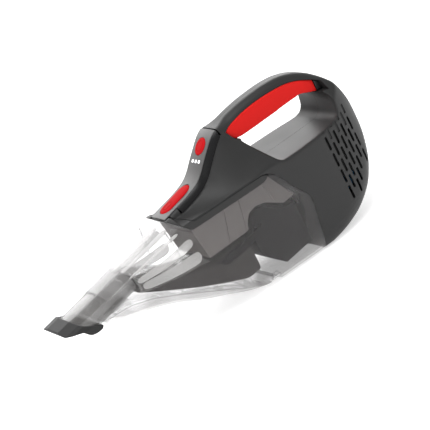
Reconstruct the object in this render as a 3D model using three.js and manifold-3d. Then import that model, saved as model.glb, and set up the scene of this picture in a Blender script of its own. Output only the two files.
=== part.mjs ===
// A cordless handheld vacuum: motor housing with a closed handle, clear dust cup, emptying door and nozzle.
// Millimetres. X runs from the nozzle (-X) to the rear (+X), Z is up, and the belly rests on z = 0.
import * as THREE from "three";
import { mergeVertices } from "three/addons/utils/BufferGeometryUtils.js";
import Module from "manifold-3d";

const wasm = await Module();
wasm.setup();

// Driving dimensions
const halfWidth = 52; // widest half-width of the motor housing
const wall = 2.6; // housing wall
const cupWall = 2.2; // clear cup and door wall
const gap = 0.3; // gap between touching pieces
const kneeZ = 117; // height where the sides start to lean in
const beltHalf = 17; // half-width of the handle
const panelDepth = 7; // depth of the control panel below its face
const panelHalf = 22.5;
const panelSkin = 2.5;
const gripHalf = 18;
const coreHalf = 13; // half-width of the housing inside the grip
const motorZ = 62; // height of the motor axis
const motorLength = 38;
const motorRadius = 17.8;
const fanX = 98.5; // front face of the fan shroud
const shroudRadius = 43;
const shroudDepth = 20;
const inletRadius = 17;
const cellRadius = 9.1;
const cellLength = 50;
const cellPlaces = [[132.7, 20.2], [151.2, 26], [169.3, 37]];
const screwPlaces = [[52, 158], [66, 118], [188, 118], [188, 50], [187, 140]];
const screwHeadY = 8; // depth of the screw seats from the split
const socketZ = 70; // height of the charge socket
const ventPitch = 7;
const ventColumns = 7;
const ventStartX = 143;
const slotSize = [3, 17]; // width and height of an exhaust slot
const slotPitch = 21;
const tubeHeight = 17; // nozzle tube, across its slide
const tubeHalf = 33.4;
const tubeWall = 1.8;
const nozzleSlope = Math.atan2(6, 34);
const filterZ = 46; // height of the filter and of the air inlet behind it
const inletHole = 26;
const panelEnd = 45; // where the panel meets the handle
const tongueHalf = 17; // half-width of the panel's front tongue

// Side-view lines, as [x, z] points
const stripLine = [[-55, 125], [-36, 129], [-14, 134], [-2, 138.5], [6, 144], [16, 153.5], [27, 163.5],
  [37, 172], [44, 176]];
const topBackLine = [[54, 177.5], [70, 181], [90, 184], [109, 185.2], [130, 185.2], [149, 182.5],
  [167, 175.5], [181, 165.5], [193, 151], [201.5, 135], [207.5, 116], [210, 98]];
const bellyLine = [[60, 0], [100, 0], [130, 4], [158, 12.5], [182, 27.5], [198, 48], [208, 72], [211, 88]];
const backLine = [...topBackLine, ...[...bellyLine].reverse().slice(0, -1)];
const partingLine = [[86.5, 0], [95.5, 56], [94.5, 65], [81.5, 86], [70.5, 106], [64.5, 112], [55, 115.5],
  [-34, 115.5], [-37.5, 117.2], [-51, 126]];
const holeLine = [[88, 115], [166, 115], [174, 119], [178, 128], [178, 140], [171, 150], [155, 155],
  [68, 155], [63.5, 151], [83, 118]];
const gripLine = [[62, 155], [155, 155], [166, 150.5], [176, 147], [176, 161], [162, 168.5], [148, 173.5],
  [132, 176], [115, 177], [97, 176.8], [79, 175], [58, 170.5], [54, 168.5]];
const keelLine = [[22, 0], [-9, 7], [-44, 22], [-63, 30], [-92, 45], [-120, 56], [-148, 64], [-172, 72]];
const keelTop = [[-173, 75.5], [-155, 77], [-138, 75], [-115, 67.5], [-83, 51.5], [-39, 27.5], [-20, 16],
  [4, 4.5]];

// The height of a line of [x, z] points at x.
function heightAt(line, x) {
  const points = [...line].sort((a, b) => a[0] - b[0]);
  const next = points.findIndex((p) => p[0] >= x);
  if (next === 0) return points[0][1];
  if (next < 0) return points[points.length - 1][1];
  const [x0, z0] = points[next - 1], [x1, z1] = points[next];
  return z0 + ((z1 - z0) * (x - x0)) / (x1 - x0);
}

// three.js geometry to a manifold solid, and back.
function solid(geometry) {
  const bare = geometry.index ? geometry.toNonIndexed() : geometry.clone();
  bare.deleteAttribute("normal");
  bare.deleteAttribute("uv");
  const merged = mergeVertices(bare, 1e-4);
  const index = [];
  const source = merged.index.array;
  for (let i = 0; i < source.length; i += 3) {
    const [a, b, c] = source.slice(i, i + 3);
    if (a !== b && b !== c && a !== c) index.push(a, b, c);
  }
  return new wasm.Manifold(new wasm.Mesh({
    numProp: 3,
    vertProperties: merged.attributes.position.array,
    triVerts: new Uint32Array(index),
  }));
}

function geometryOf(body) {
  const mesh = body.getMesh();
  const positions = new Float32Array(mesh.numVert * 3);
  for (let i = 0; i < mesh.numVert; i++) {
    positions.set(mesh.vertProperties.subarray(i * mesh.numProp, i * mesh.numProp + 3), i * 3);
  }
  const geometry = new THREE.BufferGeometry();
  geometry.setAttribute("position", new THREE.BufferAttribute(positions, 3));
  geometry.setIndex(new THREE.BufferAttribute(new Uint32Array(mesh.triVerts), 1));
  geometry.computeVertexNormals();
  return geometry;
}

// A side-view outline given depth across Y, from y0 to y1.
function slab(points, y0, y1) {
  const shape = new THREE.Shape(points.map(([x, z]) => new THREE.Vector2(x, z)));
  const options = { depth: y1 - y0, bevelEnabled: false, curveSegments: 8 };
  const geometry = new THREE.ExtrudeGeometry(shape, options);
  return solid(geometry.rotateX(Math.PI / 2).translate(0, y1, 0));
}

function box(x0, x1, y0, y1, z0, z1) {
  const geometry = new THREE.BoxGeometry(x1 - x0, y1 - y0, z1 - z0);
  return solid(geometry.translate((x0 + x1) / 2, (y0 + y1) / 2, (z0 + z1) / 2));
}

// A turned piece: profile of [radius, distance along the axis] points, from the origin point along X or Y.
function turned(profile, axis, [x, y, z], segments = 24) {
  const geometry = new THREE.LatheGeometry(profile.map((p) => new THREE.Vector2(...p)), segments);
  if (axis === "x") geometry.rotateZ(-Math.PI / 2);
  if (axis === "z") geometry.rotateX(Math.PI / 2);
  return solid(geometry.translate(x, y, z));
}

function rod(radius, length, axis, place, segments = 20) {
  return turned([[0, 0], [radius, 0], [radius, length], [0, length]], axis, place, segments);
}

// An outline moved inwards by one distance, or by one distance for each side.
function inset(points, distance) {
  const count = points.length;
  const area = points.reduce((sum, [x, z], i) => {
    const [x1, z1] = points[(i + 1) % count];
    return sum + x * z1 - x1 * z;
  }, 0);
  const turn = Math.sign(area);
  const sides = points.map(([x, z], i) => {
    const [x1, z1] = points[(i + 1) % count];
    const length = Math.hypot(x1 - x, z1 - z);
    const normal = [(-turn * (z1 - z)) / length, (turn * (x1 - x)) / length];
    const shift = Array.isArray(distance) ? distance[i] : distance;
    return { normal, reach: normal[0] * x + normal[1] * z + shift };
  });
  return points.map((_, i) => {
    const a = sides[(i + count - 1) % count], b = sides[i];
    const det = a.normal[0] * b.normal[1] - a.normal[1] * b.normal[0];
    if (Math.abs(det) < 0.02) {
      const shift = b.reach - b.normal[0] * points[i][0] - b.normal[1] * points[i][1];
      return [points[i][0] + b.normal[0] * shift, points[i][1] + b.normal[1] * shift];
    }
    return [
      (a.reach * b.normal[1] - b.reach * a.normal[1]) / det,
      (a.normal[0] * b.reach - b.normal[0] * a.reach) / det,
    ];
  });
}

// An open line running in +X, moved down square to itself.
function lowered(line, depth) {
  return line.map(([x, z], i) => {
    const [x0, z0] = line[Math.max(i - 1, 0)], [x1, z1] = line[Math.min(i + 1, line.length - 1)];
    const length = Math.hypot(x1 - x0, z1 - z0);
    return [x + ((z1 - z0) * depth) / length, z - ((x1 - x0) * depth) / length];
  });
}

// A closed body through rings of points, each ring as many [x, y, z] as the next.
function loft(rings) {
  const count = rings[0].length;
  const points = rings.flat().map((p) => new THREE.Vector3(...p));
  const index = [];
  for (let i = 0; i < rings.length - 1; i++) {
    for (let j = 0; j < count; j++) {
      const a = i * count + j, b = i * count + ((j + 1) % count);
      index.push(a, b, a + count, b, b + count, a + count);
    }
  }
  for (let j = 1; j < count - 1; j++) {
    const last = (rings.length - 1) * count;
    index.push(0, j + 1, j, last, last + j, last + j + 1);
  }
  const geometry = new THREE.BufferGeometry().setFromPoints(points);
  geometry.setIndex(index);
  const body = solid(geometry);
  if (body.volume() > 0) return body;
  for (let i = 0; i < index.length; i += 3) [index[i + 1], index[i + 2]] = [index[i + 2], index[i + 1]];
  geometry.setIndex(index);
  return solid(geometry);
}

// Half-width of the whole body in plan: a slow taper to the nozzle and a superellipse at the rear.
function planHalf(x) {
  const rear = Math.min(1, (x - 95) / 116.4);
  if (x > 95) return (halfWidth - 0.4) * Math.pow(1 - Math.pow(rear, 2.3), 1 / 2.2);
  return heightAt([[-175, 36.5], [-124, 38], [-89, 39.5], [-55, 41.5], [-20, 44.5], [30, 48.5], [75, 51.2],
    [95, halfWidth - 0.4]], x);
}

// Half-width at a height: upright below the knee, leaning in to the panel in front or the handle behind.
function halfAt(x, z, top) {
  const belt = planHalf(x);
  if (z <= kneeZ) return belt;
  const rise = Math.min(1, (z - kneeZ) / Math.max(4, top - 9 - kneeZ));
  const nose = belt + (panelHalf - 1 - belt) * Math.pow(rise, 0.75);
  const flareLine = [[117, 51], [126, 45], [136, 38], [146, 32], [157, 25], [168, 19], [176, beltHalf],
    [200, beltHalf]];
  const flare = heightAt(flareLine, z);
  const blend = THREE.MathUtils.smoothstep(x, 40, 64);
  return Math.min(belt, nose + (Math.min(flare, belt) - nose) * blend);
}

// The outer skin of the whole body, before the side-view outlines cut it into housing, cup and door.
function envelope(skin) {
  const stations = [-175, -150, -124, -89, -56, -37, -20, -5, 8, 20, 32, 44, 55, 68, 90, 100, 120, 140, 160,
    175, 187, 197, 204, 208, 210];
  const topLine = [[-175, 96.5], [-158, 100], [-124, 106], [-89, 112], [-56, 124.6], ...stripLine.slice(1),
    ...topBackLine];
  const rings = stations.map((x) => {
    const top = Math.max(heightAt(topLine, x), kneeZ * (x < -50 ? 0 : 1)) - skin;
    const bottom = heightAt([...keelLine, ...bellyLine], x) + skin;
    const toRear = Math.min(1, Math.max(0, (x - 100) / 70));
    const footHigh = 15 + 14 * toRear, footWide = 9 + 9 * toRear;
    const knee = Math.min(kneeZ, top - 9);
    const levels = [bottom, bottom + footHigh / 3, Math.min(bottom + footHigh, knee - 4),
      knee, knee + (top - knee) * 0.3,
      knee + (top - knee) * 0.6, Math.max(top - (x > 50 ? 8 : 6), knee + (top - knee) * 0.75), top];
    const trims = [footWide, footWide * 0.26, 0, 0, 0, 0, 0, x > 50 ? 9 : 5];
    const half = levels.map((z, i) => {
      const side = x < -50 ? planHalf(x) - [0, 0, 0, 0, 3, 8, 14, 22][i] : halfAt(x, z, top) - trims[i];
      return Math.max(side - (x < -50 && i < 3 ? trims[i] : 0) - skin, 2);
    });
    const right = levels.map((z, i) => [x, half[i], z]);
    const left = levels.map((z, i) => [x, -half[i], z]).reverse();
    return [...right, ...left];
  });
  rings[0] = rings[0].map(([x, y, z]) => [x - 6 + skin, y, z]);
  rings[rings.length - 1] = rings[rings.length - 1].map(([x, y, z]) => [x + 1.6 - skin, y, z]);
  return loft(rings);
}

const outer = envelope(0);
const wide = 70; // half-depth of a cutting slab

// Housing: the skin behind and above the cup, hollow, with the handle hole and the grip's seat cut out.
const housingTop = [[-51.5, 125.6], [-37, heightAt(stripLine, -37) - 0.2]];
const housingOutline = [...partingLine.slice(0, -1), ...housingTop, ...stripLine.slice(2), ...backLine];
const coreLine = [[66, 158.5], [153, 158.5], [168, 154], [168, 200], [66, 200]];

function handleSeat(clearance, coreHalfWidth, coreCut) {
  const seat = slab(inset(gripLine, -clearance), -wide, wide);
  return seat.subtract(slab(inset(coreLine, coreCut), -coreHalfWidth, coreHalfWidth));
}

const collarLine = [[176.4, 147.5], [183, 146], [181.5, 157], [176.4, 160.5]];
const bosses = (radius, y0, y1) => screwPlaces.map(([x, z]) => rod(radius, y1 - y0, "y", [x, y0, z], 14));

function ventSlots(side) {
  const slots = [];
  for (let column = 0; column < ventColumns; column++) {
    const x = ventStartX + column * ventPitch;
    const stagger = (column % 2) * 10;
    for (let row = 0; row < 4; row++) {
      const z = 28 + stagger + row * slotPitch;
      if (z + slotSize[1] > 112 || z < heightAt(bellyLine, x + 3) + 14) continue;
      slots.push(side > 0 ? box(x, x + slotSize[0], 20, wide, z, z + slotSize[1])
        : box(x, x + slotSize[0], -wide, -20, z, z + slotSize[1]));
    }
  }
  return slots;
}

const cavityOutline = inset(housingOutline, wall);
let cavity = envelope(wall).intersect(slab(cavityOutline, -wide, wide));
cavity = cavity.subtract(slab(inset(holeLine, -wall), -wide, wide));
cavity = cavity.subtract(handleSeat(wall + gap, coreHalf - wall, wall));
cavity = cavity.subtract(slab(inset(collarLine, -wall), -wide, wide));
const noseMouth = slab([[-28, 122], ...lowered(stripLine.slice(2, -1), panelDepth + 4), [40, 200],
  [-28, 200]],
  4 - panelHalf, panelHalf - 4);

let housing = outer.intersect(slab(housingOutline, -wide, wide));
housing = housing.subtract(slab(holeLine, -wide, wide));
housing = housing.subtract(handleSeat(gap, coreHalf, 0));
housing = housing.subtract(slab(inset(collarLine, -gap), -wide, wide));
let bossSolids = bosses(5, -wide, wide).reduce((sum, boss) => sum.add(boss));
bossSolids = bossSolids.intersect(housing);
housing = housing.subtract(cavity).add(bossSolids);

// Openings: the panel's seat, the air inlet behind the filter, the charge socket and the latch slot.
const panelZone = slab([[-37, 200], [-37, 121.5], ...lowered(stripLine.slice(2), panelDepth + gap),
  [panelEnd + gap, 200]], -wide, wide);
const tongueZone = slab([[-60, 200], [-60, 117], ...lowered(stripLine.slice(1, 3), panelDepth + gap),
  [-20, 200]],
  -tongueHalf - gap, tongueHalf + gap);
const latchPivot = [-26, 120.2];
const latchSlot = box(-44, -36.5, -3.6, 3.6, 100, 124).add(box(-37, -23, -3.2, 3.2, 117.3, 124));
const lug = (y) => box(-29, -23, y - 1.2, y + 1.2, 117, 123.2)
  .subtract(rod(1.3, 4, "y", [latchPivot[0], y - 2, latchPivot[1]], 12));
housing = housing.subtract(panelZone).subtract(tongueZone).subtract(noseMouth).subtract(latchSlot);
housing = housing.subtract(rod(inletHole, 30, "x", [78, 0, filterZ], 32));
housing = housing.subtract(rod(6.4, 30, "x", [189, 0, socketZ], 16));
housing = housing.add(lug(4.6)).add(lug(-4.6));

let housingRight = housing.trimByPlane([0, 1, 0], gap / 2);
let housingLeft = housing.trimByPlane([0, -1, 0], gap / 2);
screwPlaces.forEach(([x, z]) => {
  housingRight = housingRight.subtract(rod(1.7, wide, "y", [x, 0, z], 12));
  housingRight = housingRight.subtract(rod(3.4, wide, "y", [x, screwHeadY, z], 12));
  housingLeft = housingLeft.subtract(rod(1.6, 12.5, "y", [x, -12.5, z], 12));
});
ventSlots(1).forEach((slot) => { housingRight = housingRight.subtract(slot); });
ventSlots(-1).forEach((slot) => { housingLeft = housingLeft.subtract(slot); });

// Control panel: a cap along the front of the handle, with a tongue over the cup rim.
const capLine = [[-36.7, heightAt(stripLine, -36.7)], ...stripLine.slice(2), [panelEnd, 179]];
let panel = outer.intersect(slab([...capLine, ...lowered(capLine, panelDepth).reverse()], -wide, wide));
panel = panel.intersect(box(-36.7, panelEnd, -wide, wide, 100, 200));
const tongueLine = [[-55, 125], [-30, 130.4], [-30, 127.9], [-55, 122.3]];
panel = panel.add(outer.intersect(slab(tongueLine, -tongueHalf, tongueHalf)));
const capHollow = lowered([[-60, 123.9], ...stripLine.slice(1, -1), [41, 175.4]], panelSkin);
panel = panel.subtract(slab([...capHollow, [43, 100], [-60, 100]], -14.5, 14.5));

// A round or round-ended key shape standing on the panel face: length along the panel, width across it,
// between two heights.
function oval(length, width, low, high, [x, z], slope, segments = 28) {
  const radius = width / 2, straight = (length - width) / 2;
  const shape = new THREE.Shape().absarc(straight, 0, radius, -Math.PI / 2, Math.PI / 2);
  shape.absarc(-straight, 0, radius, Math.PI / 2, 1.5 * Math.PI);
  const options = { depth: high - low, bevelEnabled: false, curveSegments: segments };
  const geometry = new THREE.ExtrudeGeometry(shape, options);
  return solid(geometry.translate(0, 0, low).rotateY(-slope).translate(x, 0, z));
}

function block(x0, x1, y0, y1, low, high, [x, z], slope) {
  const geometry = new THREE.BoxGeometry(x1 - x0, y1 - y0, high - low);
  geometry.translate((x0 + x1) / 2, (y0 + y1) / 2, (low + high) / 2);
  return solid(geometry.rotateY(-slope).translate(x, 0, z));
}

const powerSlope = Math.atan2(18.5, 21);
const powerPlace = [28.5, 164.6];
const releaseSlope = Math.atan2(5, 22);
const releasePlace = [-27, 131.1];
panel = panel.subtract(oval(20.9, 20.7, -8, 8, powerPlace, powerSlope));
panel = panel.subtract(oval(44.7, 20.7, -9, 8, releasePlace, releaseSlope));
const windowYs = [-7, 0, 7];
windowYs.forEach((y) => {
  panel = panel.subtract(block(-19.3, -14.7, y - 2.1, y + 2.1, -8, 8, powerPlace, powerSlope));
});

const powerButton = oval(20.2, 20, -2.9, 0.9, powerPlace, powerSlope)
  .add(oval(23.2, 23, -4.4, -2.8, powerPlace, powerSlope))
  .add(oval(6.2, 6, -5.4, -4.3, powerPlace, powerSlope, 12));
let releaseButton = oval(44, 20, -2.4, 0.9, releasePlace, releaseSlope);
releaseButton = releaseButton.add(block(-1, 19, -9.5, 9.5, -4.4, -2.9, releasePlace, releaseSlope)
  .add(block(-1, 14, -5.4, 5.4, -3, -2.3, releasePlace, releaseSlope)));
releaseButton = releaseButton.add(block(15, 19, -2.4, 2.4, -10.4, -4.3, releasePlace, releaseSlope));

const board = block(-23, 13, -12, 12, -11.6, -10, powerPlace, powerSlope);
const tactileSwitch = block(-3.5, 3.5, -3.5, 3.5, -9.7, -7.4, powerPlace, powerSlope)
  .add(oval(3.6, 3.4, -7.5, -6.8, powerPlace, powerSlope, 12));
let lightGuide = block(-19.2, -14.8, -9, 9, -9.7, -2.9, powerPlace, powerSlope);
windowYs.forEach((y) => {
  lightGuide = lightGuide.add(block(-19, -15, y - 1.8, y + 1.8, -3, 0.1, powerPlace, powerSlope));
});

// Latch: a rocker under the release button whose blade drops into the cup rim.
const latchLine = [[-15.8, -5.9], [-13.5, -5.9], [-13.5, -3], [-6, -1.2], [2.5, -1.2], [19, 1.4], [19, 3.6],
  [3, 1.2], [-8, 1], [-15.8, -2.2]];
let latch = slab(latchLine.map(([dx, dz]) => [latchPivot[0] + dx, latchPivot[1] + dz]), -2.6, 2.6);
latch = latch.add(rod(2.2, 5.2, "y", [latchPivot[0], -2.6, latchPivot[1]], 14));
latch = latch.subtract(rod(1.3, 10, "y", [latchPivot[0], -5, latchPivot[1]], 12));
const latchPin = rod(1, 12, "y", [latchPivot[0], -6, latchPivot[1]], 12);

// A coil spring standing on Z.
function coil(radius, wire, turns, [x, y, z0], height) {
  class Helix extends THREE.Curve {
    getPoint(t, target = new THREE.Vector3()) {
      const angle = t * turns * Math.PI * 2;
      return target.set(x + radius * Math.cos(angle), y + radius * Math.sin(angle), z0 + t * height);
    }
  }
  const section = new THREE.Shape().absarc(0, 0, wire / 2, 0, Math.PI * 2);
  const steps = Math.round(turns * 9);
  const options = { extrudePath: new Helix(), steps, curveSegments: 3, bevelEnabled: false };
  return solid(new THREE.ExtrudeGeometry(section, options));
}
const releaseSpring = coil(2.1, 0.7, 4, [-16, 6.2, 118.9], 8.2);

// Grip: a soft sleeve clipped round the underside of the handle, with a collar at its rear end.
let grip = slab(gripLine, -gripHalf, gripHalf);
grip = grip.subtract(slab(inset(coreLine, -gap), -coreHalf - gap, coreHalf + gap));
const collar = slab(collarLine, -gripHalf - 0.6, gripHalf + 0.6);

// Motor, fan and mounts on one axis.
const mountX = fanX + shroudDepth + gap;
const shroud = turned([[inletRadius, 0], [shroudRadius, 0], [shroudRadius, shroudDepth],
  [shroudRadius - 2, shroudDepth], [shroudRadius - 2, 2], [inletRadius, 2], [inletRadius, 0]], "x",
  [fanX, 0, motorZ], 36);
let mount = turned([[8, 0], [shroudRadius, 0], [shroudRadius, 3], [8, 3], [8, 0]], "x",
  [mountX, 0, motorZ], 36);
for (let i = 0; i < 6; i++) {
  const angle = (i * Math.PI) / 3;
  mount = mount.subtract(rod(6, 10, "x", [mountX - 3, 30 * Math.cos(angle),
    motorZ + 30 * Math.sin(angle)], 12));
}
const motorFront = mountX + 3 + gap;
const motor = turned([[2.4, -3], [7.6, -3], [7.6, 0], [motorRadius, 0], [motorRadius, motorLength],
  [9, motorLength], [9, motorLength + 5], [0, motorLength + 5], [0, 20], [2.4, 20], [2.4, -3]], "x",
  [motorFront, 0, motorZ], 28);
let rotor = turned([[0, 0], [7, 0], [38, 9], [38, 11], [6, 11], [6, 12.5], [1.9, 12.5], [1.9, 36],
  [0, 36]], "x",
  [fanX + 5, 0, motorZ], 28);
for (let i = 0; i < 9; i++) {
  const blade = new THREE.BoxGeometry(7, 1.4, 25).translate(6.5, 0, 24);
  rotor = rotor.add(solid(blade.rotateX((i * Math.PI * 2) / 9).translate(fanX + 4, 0, motorZ))
    .intersect(turned([[0, 0], [37, 0], [37, 10], [0, 10]], "x", [fanX + 3.2, 0, motorZ], 28)));
}

const cells = cellPlaces.map(([x, z]) => rod(cellRadius, cellLength, "y", [x, -cellLength / 2, z], 22));
const trayFloor = [[122.1, 8.6], [134, 8.6], [143.5, 11.6], [161.5, 18.4], [180.5, 30.2]];
const trayInside = trayFloor.map(([x, z]) => [Math.min(Math.max(x, 123.3), 179.3), z + 1.7]);
const tray = slab([...trayFloor, [180.5, 40], [122.1, 22]], -27.8, 27.8)
  .intersect(envelope(wall + 2 * gap))
  .subtract(slab([...trayInside, [179.3, 60], [123.3, 60]], -25.6, 25.6));
const foamSide = (x) => planHalf(x) - wall - 3 * gap;
const foamXs = [141, 150, 160, 170, 180];
const foam = (side) => loft(foamXs.map((x) => {
  const y = side * foamSide(x);
  return [[x, y, 56], [x, y, 110], [x, y - side * 4, 110], [x, y - side * 4, 56]];
}));
const socket = turned([[0, 0], [6, 0], [6, 12.4], [3, 12.4], [3, 3], [1, 3], [1, 11], [0, 11]], "x",
  [191.5, 0, socketZ], 16);
const wirePath = new THREE.CatmullRomCurve3([[35, -6, 152.5], [48, -8, 145], [60, -9, 132], [74, -10, 122],
  [86, -10, 109.4], [112, -10, 108.6], [140, -9, 102],
  [150, -8, 86.5]].map((p) => new THREE.Vector3(...p)));
const wireSection = new THREE.Shape().absarc(0, 0, 1.4, 0, Math.PI * 2);
const wireOptions = { extrudePath: wirePath, steps: 22, curveSegments: 3, bevelEnabled: false };
const wiring = solid(new THREE.ExtrudeGeometry(wireSection, wireOptions));
const screw = ([x, z]) => turned([[0, 0], [1.3, 0], [1.3, 18.3], [3, 18.3], [3, 20.5], [0, 20.5]], "y",
  [x, screwHeadY - 18, z], 12);

// Dust cup: a clear shell open to the housing, to the emptying door and to the nozzle.
const cupOutline = [[-160, 99.6], [-124, 106], [-89, 112], [-57.2, 124], [-42.2, 107], [54, 107],
  [63.5, 111.2],
  ...partingLine.slice(0, 5).reverse().map(([x, z]) => [x - 0.5, z]), [24.8, 0], [24.8, 4.9], [4, 4.9],
  ...keelTop.slice(1, -1).reverse().map(([x, z]) => [x, z + gap]), [-160, 76.9]];
const cupCavity = [[-170, 95.4], [-124, 103.7], [-89, 109.7], [-59.2, 120.8], [-43.6, 104.4],
  [-41.9, 104.4], [-41.9, 112], [54, 112], [70, 120], [110, 100], [110, cupWall], [24.5, cupWall],
  [24.5, -8], [-20, -8],
  [-139, 50], [-139, 83.2], [-170, 77.8]];
const doorPivot = [20.5, 3.9];
const barrel = (radius, y0, y1) => rod(radius, y1 - y0, "y", [doorPivot[0], y0, doorPivot[1]], 16);
let cupShell = outer.intersect(slab(cupOutline, -wide, wide));
cupShell = cupShell.subtract(envelope(cupWall).intersect(slab(cupCavity, -wide, wide)));
cupShell = cupShell.subtract(barrel(3.6, -31.8, 31.8)).subtract(box(14, 24.6, -wide, wide, -5, 8.5));
[-1, 1].forEach((side) => {
  const lugBox = side > 0 ? box(17.3, 28, 31.8, 35.5, 0.9, 7.2) : box(17.3, 28, -35.5, -31.8, 0.9, 7.2);
  cupShell = cupShell.add(lugBox);
});
cupShell = cupShell.subtract(barrel(1.5, -40, 40));
const doorPin = barrel(1.2, -35, 35);

// Emptying door: a clear tray along the keel, hinged at its rear end.
const doorOutline = [...keelLine.map(([x, z]) => [Math.min(x, 19), Math.max(z, 0.7)]),
  ...keelTop, [18.5, 4.4]];
const doorCavity = [[-171, 90], [-170.4, 74], [-148, 66.3], [-120, 58.3], [-92, 47.3], [-63, 32.4],
  [-44, 24.3], [-9, 9.3], [0, 30], [-60, 90]];
let door = outer.intersect(slab(doorOutline, -wide, wide));
door = door.subtract(envelope(cupWall).intersect(slab(doorCavity, -wide, wide)));
door = door.subtract(box(12, 30, 31.3, wide, -5, 10)).subtract(box(12, 30, -wide, -31.3, -5, 10));
door = door.add(barrel(2.8, -31.3, 31.3)).subtract(barrel(1.5, -40, 40));

// Cup rim: the opaque collar of the cup's mouth, notched for the panel's tongue and the latch blade.
const rimOutline = [[-56.6, 124.2], [-51.4, 125.4], [-37.7, 116.8], [-34, 115.2], [54.8, 115.2],
  [62.6, 111.6], [54, 107.3], [-41.9, 107.3]];
let rim = outer.intersect(slab(rimOutline, -wide, wide));
rim = rim.subtract(envelope(6).intersect(slab([[-35.8, 90], [70, 90], [70, 130], [-35.8, 130]], -wide,
  wide)));
rim = rim.subtract(slab([[-62, 116.6], ...lowered(stripLine.slice(0, 3), panelDepth + gap), [-20, 160],
  [-62, 160]],
  -tongueHalf - gap, tongueHalf + gap));
rim = rim.subtract(box(-44.5, -30, -3.6, 3.6, 113.6, 130));

// Intake duct: an opaque flattened tube from the nozzle down to the rear of the cup.
const ductStations = [[-122, 77, 101.5, 33.5], [-104, 66.2, 93, 34], [-84, 55.4, 80, 35],
  [-64, 44.5, 69.5, 36], [-45, 34.8, 63.5, 36.5], [-23, 24.5, 61.5, 37], [-3, 16.6, 61.5, 37],
  [11, 17, 62.5, 37]];
const ductRings = (skin, reach) => ductStations.map(([x, low, high, half], i) => {
  const end = i === 0 ? -reach : i === ductStations.length - 1 ? reach : 0;
  const ring = [];
  for (let k = 0; k < 20; k++) {
    const angle = ((k + 0.5) * Math.PI * 2) / 20;
    const round = (v) => Math.sign(v) * Math.pow(Math.abs(v), 0.45);
    const y = (half - skin) * round(Math.cos(angle));
    ring.push([x + end, y, (low + high) / 2 + ((high - low) / 2 - skin) * round(Math.sin(angle))]);
  }
  return ring;
});
let duct = loft(ductRings(0, 0)).subtract(loft(ductRings(1.8, 4)));
const flapPivot = [-116, 91.8];
duct = duct.subtract(rod(1.3, 80, "y", [flapPivot[0], -40, flapPivot[1]], 12));
const flapPin = rod(1, 62, "y", [flapPivot[0], -31, flapPivot[1]], 12);
let flap = box(flapPivot[0] - 0.9, flapPivot[0] + 0.9, -24, 24, 77.5, flapPivot[1]);
flap = flap.add(rod(2, 48, "y", [flapPivot[0], -24, flapPivot[1]], 14));
flap = flap.subtract(rod(1.3, 60, "y", [flapPivot[0], -30, flapPivot[1]], 12));

// Filter parts, all carried by the cup.
const basketOutline = [[-41.4, 106.6], [-36.5, 66.8], [15, 66.8], [27, 82.3], [38, 85.4], [50, 82.3],
  [70, 69], [86, 70], [76, 88], [66, 106.6]];
let basket = slab(basketOutline, -36, 36);
basket = basket.subtract(slab(inset(basketOutline, [1.6, 1.6, 1.6, 1.6, 1.6, 1.6, 1.6, 1.6, 1.6, -6]),
  -34.4, 34.4));
for (let x = -32; x < 12; x += 8) basket = basket.subtract(box(x, x + 2.4, -30, 30, 60, 70));
const holderOutline = [[22, 60], [30, 77.5], [39, 80.5], [48, 77.5], [66, 64.5], [83, 62], [83, 12],
  [43, 8], [30, 21], [22, 32]];
let holder = slab(holderOutline, -33, 33);
holder = holder.subtract(slab(inset(holderOutline, [2, 2, 2, 2, 2, -6, 2, 2, 2, 2]), -31, 31));
const pleats = [];
for (let k = 0; k < 48; k++) {
  const radius = k % 2 ? 17.5 : 22;
  const angle = (k * Math.PI * 2) / 48;
  pleats.push([radius * Math.cos(angle), radius * Math.sin(angle)]);
}
const pleatShape = new THREE.Shape(pleats.map((p) => new THREE.Vector2(...p)));
const pleatGeometry = new THREE.ExtrudeGeometry(pleatShape, { depth: 32, bevelEnabled: false });
const filterX = 48;
const filter = solid(pleatGeometry.rotateY(Math.PI / 2).translate(filterX, 0, filterZ - 9));
const gasket = turned([[24, 0], [27.5, 0], [27.5, 2], [24, 2], [24, 0]], "x", [83.3, 0, filterZ - 9], 28);

// Nozzle: a flat arched tube that slides in the cup's front, with a rubber lip round its slanted mouth.
const tubeTop = (x) => 97.3 + (x + 158) * Math.tan(nozzleSlope);
const tubeArch = [[12, 0], [19.8, 2.25], [25.6, 3.6], [30.4, 6.3], [tubeHalf - 0.2, 9.4],
  [tubeHalf - 0.2, tubeHeight - 1.5], [tubeHalf - 2, tubeHeight]];

function nozzleBody(grow, x0, x1) {
  const ring = (x) => {
    const right = tubeArch.map(([y, drop], i) => {
      const spread = i === 0 ? y + grow * 0.5 : y + grow;
      const lower = i < 4 ? drop - grow : i < 5 ? drop : drop + grow;
      return [x, spread, tubeTop(x) - lower];
    });
    return [...right, ...right.map(([px, y, z]) => [px, -y, z]).reverse()];
  };
  return loft([ring(x0), ring(x1)]);
}

// A cut parallel to the slanted mouth, passing ahead of it by the given distance along X.
const mouthCut = (ahead) => slab([[-221.3 - ahead, 89.8], [-170 - ahead, 74.8], [-170, 50], [-100, 50],
  [-100, 130], [-221.3 - ahead, 130]], -wide, wide);
const tubeEnd = -124.5;
const bore = nozzleBody(-tubeWall, -235, -110);
const tube = nozzleBody(0, -225, tubeEnd).intersect(mouthCut(0)).subtract(bore);
const lipLine = [[-221, 86.4], [-176.8, 72], [-172.6, 84.6], [-197.5, 94.5], [-220.6, 90.4]];
let lip = nozzleBody(3.6, -228, -160).intersect(slab(lipLine, -wide, wide));
lip = lip.subtract(nozzleBody(gap, -225, -150).intersect(mouthCut(0.5))).subtract(bore);

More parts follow.
